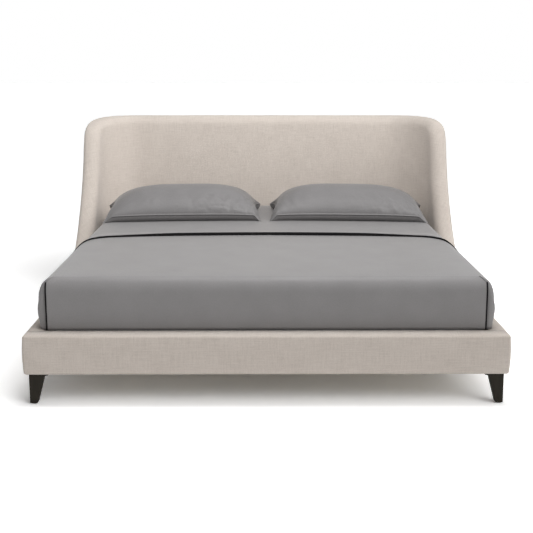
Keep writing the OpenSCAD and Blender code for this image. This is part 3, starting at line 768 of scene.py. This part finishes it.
def slab(name, low, high, corner_r, edge, tuck, material, rows=None, top_dip=level, bottom_wave=level):
    """Rounded slab, closed below, or open with its hem tucked under by the given width.
    edge holds the reach in and down of the top's rounding along the sides, and the same along the front.
    rows(x) gives the places of the grid's rows, from the head to the front."""
    columns = 24
    inset = Vector((corner_r, corner_r, 0))
    inner_low, inner_high = low + inset, high - inset
    flat_steps, round_steps, side_steps, bottom_steps = 3, 6, 8, 5
    tuck_steps = bottom_steps if tuck is None else max(1, round(bottom_steps * tuck / BOTTOM_R))
    levels = flat_steps + round_steps + side_steps + tuck_steps
    height = high.z - low.z

    def reach(k, turn):
        """How far out and down level k of the skirt lies, towards a direction in degrees."""
        frontward = max(0.0, -math.sin(math.radians(turn))) ** 3
        reach_in = lerp(edge[0], edge[2], frontward)
        reach_down = lerp(edge[1], edge[3], frontward)
        if k <= flat_steps:
            return (corner_r - reach_in) * k / flat_steps, 0.0
        k -= flat_steps
        if k <= round_steps:
            a = math.pi / 2 * k / round_steps
            return corner_r - reach_in * (1 - math.sin(a)), reach_down * (1 - math.cos(a))
        k -= round_steps
        if k <= side_steps:
            return corner_r, lerp(reach_down, height - BOTTOM_R, k / side_steps)
        a = math.pi / 2 * (k - side_steps) / bottom_steps
        return corner_r - BOTTOM_R * (1 - math.cos(a)), height - BOTTOM_R * (1 - math.sin(a))

    fans = [[(start + 90 * i / 7, None) for i in range(1, 7)] for start in (180, 270, 360, 450)]
    row_count = len(rows(0.0)) - 1 if rows else 26

    def plan(i, j):
        x = lerp(inner_low.x, inner_high.x, i / columns)
        y = rows(x)[j] if rows else lerp(inner_high.y, inner_low.y, j / row_count)
        return Vector((x, min(max(y, inner_low.y), inner_high.y), 0))

    def top_point(i, j):
        return skirt_point(i, j, 0, None, 0)

    def skirt_point(i, j, turn, extra, k):
        out, drop = reach(k, turn)
        a = math.radians(turn)
        p = plan(i, j) + out * Vector((math.cos(a), math.sin(a), 0))
        p.z = high.z - drop + top_dip(p) * (1 - smooth(out / corner_r))
        return p

    def bottom_point(i, j):
        p = plan(i, j)
        p.z = low.z + bottom_wave(p)
        return p

    piece = skirted(name, columns, row_count, levels, top_point, skirt_point, fans, material,
                    bottom_point if tuck is None else None)
    subdivide(piece)
    box_uv(piece)
    return piece


# Rounding of the mattress's top edge: in and down along the sides, then in and down along the front
TOP_EDGE = (33 * MM, 33 * MM, 74 * MM, 54 * MM)
BOTTOM_R = 26 * MM
CORNER_R = 81 * MM
QUILT_STEP = 180 * MM
WELT_INSET = 14 * MM
WELT_R = 3 * MM


def make_mattress():
    inset = Vector((1.5, 1.5, 0)) * MM
    low, high = MATTRESS_LOW + inset, MATTRESS_HIGH - inset - Vector((0, 0, 1.5 * MM))

    def quilted(p):
        wave = math.sin(p.x * math.tau / QUILT_STEP) * math.sin(p.y * math.tau / QUILT_STEP)
        return 5 * MM * abs(wave) ** 0.5 * (0.5 if wave > 0 else 0.3)

    edge = [reach + 2 * MM for reach in TOP_EDGE]
    piece = slab("mattress_ticking", low, high, CORNER_R + MM, edge, None, TICKING, bottom_wave=quilted)
    settle(piece, "mattress", "mattress")
    corner = Vector((high.x - WELT_INSET, high.y - WELT_INSET, low.z + 4 * MM))
    w, t = corner.x - low.x - WELT_INSET, corner.y - low.y - WELT_INSET
    path = [corner - p for p in round_rectangle(w, t, 66 * MM, 0.0, 8)]
    path += path[:2]
    welt = mesh_object("mattress_welt", *tube(path, [WELT_R] * len(path)), [TICKING])
    box_uv(welt)
    settle(welt, "mattress")


SHEET_LOW, SHEET_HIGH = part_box("fitted_sheet")
SHEET_T = 1.1 * MM
SHEET_TUCK = 16 * MM


def make_fitted_sheet():
    roll_h, roll_near, roll_far = 15 * MM, 15 * MM, 130 * MM

    def dip(p):
        """The sheet rolls up behind the coverlet's head edge, and lies uneven."""
        back = p.y - head_edge(abs(p.x))
        roll = roll_h * smooth((back - 3 * MM) / roll_near) * (1 - smooth((back - 28 * MM) / roll_far))
        under = -1.0 * MM * smooth(-back / (20 * MM))
        return roll + under + 0.6 * MM * noise.noise(p * 7)

    def rows(x):
        """Places of the rows along the bed, close together at the roll."""
        edge = head_edge(abs(x))
        head, foot = SHEET_HIGH.y - CORNER_R, SHEET_LOW.y + CORNER_R
        near = [edge + back * MM for back in (180, 130, 90, 60, 40, 28, 22, 16, 11, 7, 3, -2, -10, -24)]
        far = [lerp(head, near[0], i / 11) for i in range(11)]
        return far + near + [lerp(near[-1], foot, i / 14) for i in range(1, 15)]

    low = Vector((SHEET_LOW.x, SHEET_LOW.y, MATTRESS_LOW.z + 0.6 * MM))
    piece = slab("fitted_sheet_cloth", low, SHEET_HIGH, CORNER_R, TOP_EDGE, SHEET_TUCK, COTTON, rows, dip)
    solidify(piece, SHEET_T)
    settle(piece, "mattress", "fitted_sheet")


# The coverlet's edges: how far the rounding reaches in from the side and front, and down from the top
SIDE_IN, SIDE_DOWN = 75 * MM, 145 * MM
FRONT_IN, FRONT_DOWN = 46 * MM, 66 * MM
SIDE_SQUARENESS, FRONT_SQUARENESS = 2.6, 2.0
SLIT_X = 957 * MM
SLIT_W = 6 * MM
SLIT_SETBACK = 7 * MM
SLIT_TOP = 14 * MM
# The dark cord paints the shadow along the coverlet's head edge and down its slits. It is thickest and
# tallest in the middle, where that shadow is deepest, and thinner at the sides.
CORD_R = 7.2 * MM
CORD_END_R = 2.8 * MM
CORD_TALL = 1.9
CORD_RISE = 4.2 * MM
CORD_BACK = 3 * MM
SLIT_CORD_R = 3.6 * MM
HEAD_SET = 50 * MM
HEAD_BOW = 50 * MM
HEAD_BOW_RUN = 800 * MM
# The head edge turns towards the foot on its way down the side: how far, and where along its run
EDGE_TURN = 386 * MM
EDGE_TURN_RUN = 976 * MM
EDGE_TURN_LENGTH = 35 * MM
SIDE_BULGE = 6 * MM
COVERLET_T = 3.6 * MM
COVERLET_TOP = COVERLET_HIGH.z - 0.8 * MM
# Where the coverlet's flat top ends, at the side and at the front
FLAT_END_X = COVERLET_HIGH.x - SIDE_IN
FLAT_END_Y = COVERLET_LOW.y + FRONT_IN
# Rows of the hem at the head edge: how far in from the edge each lies and how far it rises
HEAD_HEM = ((0.0, 0.0), (3.5 * MM, 1.2 * MM), (8 * MM, 1.2 * MM), (14 * MM, 0.0))


def head_edge(run):
    """Where the coverlet's head edge lies, at a distance run across the top and down the side."""
    bow = HEAD_BOW * min(1.0, run / HEAD_BOW_RUN) ** 2
    turn = EDGE_TURN / (1 + math.exp((EDGE_TURN_RUN - run) / EDGE_TURN_LENGTH))
    return COVERLET_HIGH.y - (HEAD_SET + bow + turn)


def coverlet_profile():
    """Levels down the skirt: front offset and height, side offset and height, and the run down the side."""
    made = []
    top, hem = COVERLET_TOP, COVERLET_LOW.z
    cuts, lower = 12, 7
    for k in range(1, cuts + 1):
        front_out, front_up = superellipse(k / cuts, FRONT_SQUARENESS)
        out, up = superellipse(k / cuts, SIDE_SQUARENESS)
        front_z = top - FRONT_DOWN * (1 - front_up)
        made.append([FRONT_IN * front_out, front_z, SIDE_IN * out, top - SIDE_DOWN * (1 - up)])
    for k in range(1, lower + 1):
        t = k / lower
        front_z = lerp(top - FRONT_DOWN, hem, t)
        side_z = lerp(top - SIDE_DOWN, hem, t)
        bulge = SIDE_BULGE * math.sin(math.pi * min(1.0, 0.25 + t))
        made.append([FRONT_IN - 2 * MM * t * t, front_z, SIDE_IN + bulge - 3 * MM * t * t, side_z])
    run, last = 0.0, (0.0, top)
    for place in made:
        run += math.hypot(place[2] - last[0], place[3] - last[1])
        last = place[2:]
        place.append(run)
    return made


def hem_row(edge, j, rows):
    """Place and rise of a row, from the head edge with its hem to the front."""
    last = len(HEAD_HEM) - 1
    if j <= last:
        return edge - HEAD_HEM[j][0], HEAD_HEM[j][1]
    return lerp(edge - HEAD_HEM[last][0], FLAT_END_Y, (j - last) / (rows - last)), 0.0


def make_coverlet():
    columns, rows = 44, 26
    profile = coverlet_profile()

    def top_point(i, j):
        x = lerp(-FLAT_END_X, FLAT_END_X, i / columns)
        y, rise = hem_row(head_edge(abs(x)), j, rows)
        return Vector((x, y, COVERLET_TOP + rise))

    def skirt_point(i, j, turn, extra, k):
        front_out, front_z, side_out, side_z, run = profile[k - 1]
        side = -1 if i == 0 else 1
        if turn == 270:
            return Vector((lerp(-FLAT_END_X, FLAT_END_X, i / columns), FLAT_END_Y - front_out, front_z))
        if extra is None:
            y, rise = hem_row(head_edge(FLAT_END_X + run), j, rows)
            return Vector((side * (FLAT_END_X + side_out + rise), y, side_z))
        opening = smooth((COVERLET_TOP - SLIT_TOP - front_z) / (16 * MM))
        start = min(1.0, front_out / FRONT_IN * 1.5)
        kind, value, depth = extra
        if kind == "slit":
            widen = 2 * MM * smooth(1 - (front_z - COVERLET_LOW.z) / (30 * MM)) if value > SLIT_X else 0.0
            x = lerp(FLAT_END_X, value + widen, start)
            return Vector((side * x, FLAT_END_Y - front_out + depth * opening, front_z))
        share = max(0.0, 1 - value ** 5) ** (1 / 5)
        back = SLIT_SETBACK * opening * share
        pleat = 1.6 * MM * math.sin(value * 16) * opening * share
        tuck = 2 * MM * smooth(1 - (side_z - COVERLET_LOW.z) / (34 * MM)) * share if start == 1 else 0.0
        x = FLAT_END_X + (side_out - tuck) * value
        z = lerp(side_z, front_z, share * share)
        return Vector((side * x, FLAT_END_Y - front_out * share + back + pleat, z))

    # Stations from the flat front into a slit and out of it, then round the folded corner to the side
    steps = ((-5, 0), (-1.2, 0), (0, 1.4), (0.2, 5), (0.8, 10), (5.2, 14), (5.8, 10))
    fan = [("slit", SLIT_X + step * MM, depth * MM) for step, depth in steps]
    fan += [("flap", share, 0.0) for share in (0.50, 0.57, 0.66, 0.75, 0.84, 0.91, 0.96, 0.99)]
    fans = [[(225, station) for station in reversed(fan)], [(315, station) for station in fan], []]
    piece = skirted("coverlet_cloth", columns, rows, len(profile), top_point, skirt_point, fans, COTTON)
    subdivide(piece)
    ripple(piece, [(2.6, 1.1 * MM), (6.5, 0.5 * MM)], 5.0)
    box_uv(piece)
    solidify(piece, COVERLET_T)
    settle(piece, "mattress", "coverlet")
    cord = make_coverlet_shade_cord(profile)


def make_coverlet_shade_cord(profile):
    """Dark cord along the head edge and down the slits. Its charcoal colour paints the shadow gap under the
    head edge's fold and the shade inside the slits.
    """
    cuts = 24
    half = []
    for n in range(cuts + 1):
        x = FLAT_END_X * n / cuts
        half.append(Vector((x, head_edge(x) + CORD_BACK, COVERLET_TOP + CORD_RISE)))
    for _, _, side_out, side_z, run in profile:
        rise = CORD_RISE * (1 - smooth(run / (60 * MM)))
        half.append(Vector((FLAT_END_X + side_out, head_edge(FLAT_END_X + run) + CORD_BACK, side_z + rise)))
    path = [Vector((-p.x, p.y, p.z)) for p in half[:0:-1]] + half
    radii = [lerp(CORD_R, CORD_END_R, smooth((abs(p.x) - 450 * MM) / (450 * MM))) for p in path]
    points, faces = tube(path, radii, CORD_TALL)
    for side in (-1, 1):
        x = side * (SLIT_X + SLIT_W / 2)
        path = [Vector((x, FLAT_END_Y - front_out + 1.6 * MM, front_z))
                for front_out, front_z, *_ in profile if front_z <= COVERLET_TOP - SLIT_TOP - 2 * MM]
        more, more_faces = tube(path, [SLIT_CORD_R] * len(path))
        faces += [tuple(i + len(points) for i in face) for face in more_faces]
        points += more
    cord = mesh_object("coverlet_shade_cord", points, faces, [CORD_SHADE])
    box_uv(cord)
    settle(cord, "mattress")
    return cord


# ---------- pillows ----------

PILLOW_W, PILLOW_D = 915 * MM, 440 * MM
PILLOW_TURN = math.radians(3.5)
SEAM_RISE = 43 * MM
CASE_FLOOR = 0.6 * MM - SEAM_RISE
CROWN = 150 * MM
FLANGE_W = 8 * MM
FLANGE_SAG = 4 * MM
FRONT_SAG = 9 * MM
# How far the ears reach past the case, at the front and the rear, first of the inner end, then of the outer
EAR_REACH = ((-4 * MM, 24 * MM), (14 * MM, 20 * MM))
# How far the ears droop, at the front and at the rear
EAR_DROP = (38 * MM, 12 * MM)
CREASE = 14 * MM
CASE_COLUMNS, CASE_ROWS = 84, 46
CASE_CLOTH = {
    "quality": 6, "mass": 0.25, "tension_stiffness": 20, "compression_stiffness": 20, "shear_stiffness": 8,
    "bending_stiffness": 0.3, "air_damping": 3, "shrink_min": -0.03, "use_pressure": True,
    "uniform_pressure_force": 3.0}
CASE_FRAMES = 18
CASE_MOVE = 9 * MM


def spread(count):
    """Places from -1 to 1, close together near the ends, each with its share of the flange's width."""
    places = [(math.sin(math.pi / 2 * (2 * i / count - 1)), 0.0) for i in range(count + 1)]
    return [(-1.0, 1.0)] + places + [(1.0, 1.0)]


def crease(u, v, side):
    """Depth of the creases in a case, along its front and most of all towards the end that faces right."""
    ridge = noise.noise(Vector((u * 15 + v * 6 + 9 * side, v * 2.2, 3.0)))
    narrow = max(0.0, 1 - 4 * abs(ridge)) ** 1.5
    front = smooth((-v - 0.45) / 0.35)
    return CREASE * narrow * front * (0.25 + 0.75 * smooth((side * u + 0.2) / 0.7))


def case_point(u, v, flange_u, flange_v, up, side):
    """Point of a filled case whose middle is at the origin, on its upper or lower side.
    u runs to its outer end and v to the headboard. Its corners are empty ears, and the front ones droop."""
    a, b = abs(u), abs(v)
    rear = smooth((v + 1) / 2)
    ear = smooth((a - 0.90) / 0.10) * smooth((b - 0.70) / 0.30)
    x = u * PILLOW_W / 2 * (1 - 0.062 * (1 - v * v))
    y = v * PILLOW_D / 2 * (1 - 0.050 * (1 - u * u))
    x += math.copysign(lerp(*EAR_REACH[u > 0], rear) * ear + FLANGE_W * flange_u, u)
    y += math.copysign(8 * MM * ear + FLANGE_W * flange_v, v)
    z = -lerp(*EAR_DROP, rear) * ear - FRONT_SAG * a ** 4 * (1 - rear)
    if flange_u or flange_v:
        return Vector((x, y, max(z - FLANGE_SAG, CASE_FLOOR)))
    if up:
        shifted = u + 0.06 * (1 - u * u)
        long_rise = max(0.0, 1 - abs(shifted) ** 3.4) ** 0.45
        deep_rise = max(0.0, 1 - b ** 2.1) ** 0.62
        swell = noise.noise(Vector((u * 7, v * 1.6, side))) * smooth(b / 0.9) * 6 * MM
        fold = crease(u, v, side) * (long_rise * deep_rise) ** 0.15
        z += 0.8 * MM + CROWN * long_rise * deep_rise + swell * deep_rise - fold
    else:
        belly = (max(0.0, 1 - a ** 44) * max(0.0, 1 - b ** 26)) ** 0.5
        bulge = 4 * belly * (1 - belly) * 3 * MM
        x += math.copysign(bulge * a ** 30, u)
        y += math.copysign(bulge * b ** 20, v)
        z -= 0.8 * MM + SEAM_RISE * belly
    return Vector((x, y, max(z, CASE_FLOOR)))


def make_pillow(word, side):
    node = "pillow_" + word
    low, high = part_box(node)
    columns, rows = spread(CASE_COLUMNS), spread(CASE_ROWS)
    last_i, last_j = len(columns) - 1, len(rows) - 1
    points, faces, uvs, index = [], [], [], {}

    def vertex(i, j, up):
        hem = i in (0, last_i) or j in (0, last_j)
        key = (i, j, 0 if hem else up)
        if key not in index:
            index[key] = len(points)
            (u, flange_u), (v, flange_v) = columns[i], rows[j]
            points.append(case_point(u, v, flange_u, flange_v, up > 0, side))
        return index[key]

    for up in (1, -1):
        for j in range(last_j):
            for i in range(last_i):
                loop = [(i + di, j + dj) for di, dj in QUAD]
                faces.append(tuple(vertex(a, b, up) for a, b in loop))
                uvs.append([(columns[a][0] * PILLOW_W / 2 + side,
                             rows[b][0] * PILLOW_D / 2 + up) for a, b in loop])
    piece = mesh_object("pillow_case_" + word, points, faces, [SHADED_PILLOW_COTTON], uvs)
    fill_case(piece)
    middle = (low + high) / 2
    across = Vector((side * math.cos(PILLOW_TURN), -math.sin(PILLOW_TURN), 0))
    along = Vector((side * math.sin(PILLOW_TURN), math.cos(PILLOW_TURN), 0))
    base = Vector((middle.x, middle.y, low.z + SEAM_RISE))
    for v in piece.data.vertices:
        v.co = base + across * v.co.x + along * v.co.y + Vector((0, 0, v.co.z))
    face_outward(piece)
    subdivide(piece)
    settle(piece, node, node)


def fill_case(piece):
    """Lets the cloth of the case grow slack and swell under pressure, so that it creases, within a limit."""
    start = [v.co.copy() for v in piece.data.vertices]
    cloth = piece.modifiers.new("cloth", "CLOTH")
    for setting, value in CASE_CLOTH.items():
        setattr(cloth.settings, setting, value)
    cloth.settings.effector_weights.gravity = 0
    cloth.collision_settings.use_collision = False
    scene = bpy.context.scene
    for moment in range(1, CASE_FRAMES + 1):
        scene.frame_set(moment)
    apply_modifiers(piece)
    scene.frame_set(1)
    for v, p in zip(piece.data.vertices, start):
        from_seam = max(0.0, min(PILLOW_W / 2 - abs(p.x), PILLOW_D / 2 - abs(p.y)))
        limit = CASE_MOVE * smooth((from_seam - 6 * MM) / (50 * MM)) + 0.01 * MM
        move = v.co - p
        if move.length > limit:
            move *= limit / move.length
        q = p + move
        v.co = (q.x, q.y, max(q.z, CASE_FLOOR))


# ---------- stage ----------

def floor_material():
    """White floor that keeps the object's shadow, and looks paler than the light that it throws back."""
    s = Shader("white_floor", 0.9, Specular_IOR_Level=0.0, Base_Color=linear((244, 244, 244)))
    seen = s.seen()
    shade = s.math("MULTIPLY", seen, FLOOR_LIFT)
    tone = s.add("CombineColor", {0: shade, 1: shade, 2: shade})
    lift = s.add("BsdfDiffuse", {"Color": tone.outputs[0]})
    both = s.add("AddShader", {0: s.bsdf.outputs[0], 1: lift.outputs[0]})
    glow = s.add("Emission", {"Strength": s.math("MULTIPLY", seen, FLOOR_GLOW)})
    total = s.add("AddShader", {0: both.outputs[0], 1: glow.outputs[0]})
    s.put(total.outputs[0], s.out.inputs["Surface"])
    return s.material


def make_world():
    """White to the camera. Its own light comes from low down and fades to nothing overhead."""
    world = bpy.data.worlds.new("studio")
    bpy.context.scene.world = world
    sky = Nodes(world, "OutputWorld")
    split = sky.add("SeparateXYZ", {0: sky.add("TexCoord").outputs["Generated"]})
    fade = sky.add("MapRange", {"Value": split.outputs[2], "To Min": WORLD_HORIZON, "To Max": 0.0})
    light = sky.add("Background", {"Color": WHITE, "Strength": fade.outputs[0]})
    backdrop = sky.add("Background", {"Color": WHITE})
    mix = sky.add("MixShader", {0: sky.seen(), 1: light.outputs[0], 2: backdrop.outputs[0]})
    sky.put(mix.outputs[0], sky.out.inputs["Surface"])


def make_stage():
    corners = [Vector((x, y, 0)) * FLOOR_REACH for x, y in ((-1, -1), (1, -1), (1, 1), (-1, 1))]
    mesh_object("studio_floor", corners, [(0, 1, 2, 3)], [floor_material()])
    make_world()
    for name, towards, strength in SUNS:
        lamp = bpy.data.lights.new(name, "SUN")
        lamp.energy = strength
        lamp.angle = math.radians(SUN_ANGLE)
        hang_lamp(lamp, Vector(), Vector(towards))
    for name, place, target, size, power in PANELS:
        panel = bpy.data.lights.new(name, "AREA")
        panel.shape = "RECTANGLE"
        panel.size, panel.size_y = size
        panel.energy = power
        hang_lamp(panel, Vector(place), Vector(place) - Vector(target))


def hang_lamp(lamp, place, backward):
    """Puts a lamp at a place with its back turned in a direction, out of the camera's sight."""
    holder = bpy.data.objects.new(lamp.name, lamp)
    holder.location = place
    holder.rotation_mode = "QUATERNION"
    holder.rotation_quaternion = backward.to_track_quat("Z", "Y")
    holder.visible_camera = False
    bpy.context.scene.collection.objects.link(holder)


WHITE = (1, 1, 1, 1)
FLOOR_REACH = 60
FLOOR_LIFT = 0.56
FLOOR_GLOW = 0.035
WORLD_HORIZON = 0.64
# Wide soft suns, each with its direction and strength, and the angle that each fills in the sky
SUNS = [("key", (0.55, -0.45, 0.70), 0.96),
        ("side", (0.85, -0.25, 0.45), 0.50),
        ("top", (0.15, 0.22, 0.95), 0.60)]
SUN_ANGLE = 40
# Soft panels: name, place, target, size and power
PANELS = [("over_foot", (0.2, -0.9, 2.9), (0.0, 1.0, 0.9), (2.4, 0.8), 49),
          ("front", (-0.3, -4.6, 2.4), (0.0, 1.0, 0.8), (3.0, 1.6), 5)]


CAMERA_PLACE = (-19.5 * MM, COVERLET_LOW.y - 3.719, 1.468)
CAMERA_TILT = -9.7
CAMERA_TURN = -0.29


def make_camera():
    data = bpy.data.cameras.new("camera")
    data.sensor_width = 36
    data.lens = 59.64
    data.shift_y = -0.1
    data.clip_end = 200
    camera = bpy.data.objects.new("camera", data)
    camera.location = CAMERA_PLACE
    camera.rotation_euler = (math.radians(90 + CAMERA_TILT), 0, math.radians(CAMERA_TURN))
    bpy.context.scene.collection.objects.link(camera)
    bpy.context.scene.camera = camera


make_camera()
make_stage()
bpy.context.scene.view_settings.view_transform = "Standard"
make_headboard()
make_rails()
make_legs()
make_mattress()
make_fitted_sheet()
make_coverlet()
for side, word in SIDES:
    make_pillow(word, side)
dress_frame()
